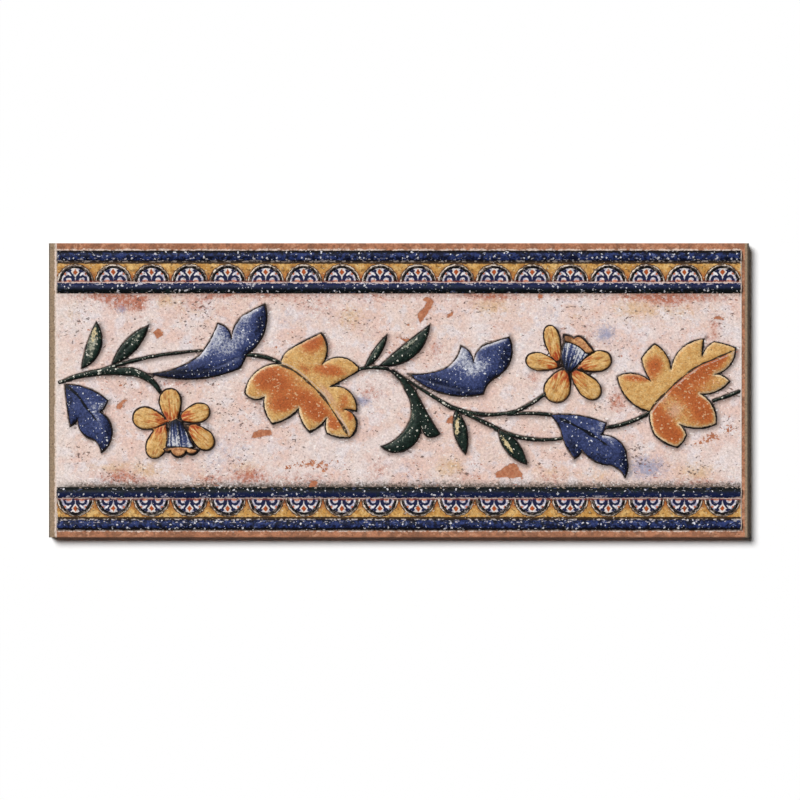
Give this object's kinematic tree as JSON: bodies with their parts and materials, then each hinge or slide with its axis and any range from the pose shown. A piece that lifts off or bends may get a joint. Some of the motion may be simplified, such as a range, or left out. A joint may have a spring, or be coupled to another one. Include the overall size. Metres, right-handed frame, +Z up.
{
  "type": "decorative porcelain tile",
  "caption": "Oblong border tile lying face up: moulded leaves and flowers between bead rails and half-hoop friezes, bare clay margin, keyed back.",
  "frame": {"origin": "middle of the back, on the plane the tile rests on", "axes": "+X along the length, +Y across towards the top of the pattern, +Z up out of the face"},
  "size_m": [0.333, 0.14, 0.01],
  "materials": {
    "glazed_tile": "satin"
  },
  "bodies": {
    "root": {"tile": "glazed_tile"}
  },
  "joints": []
}
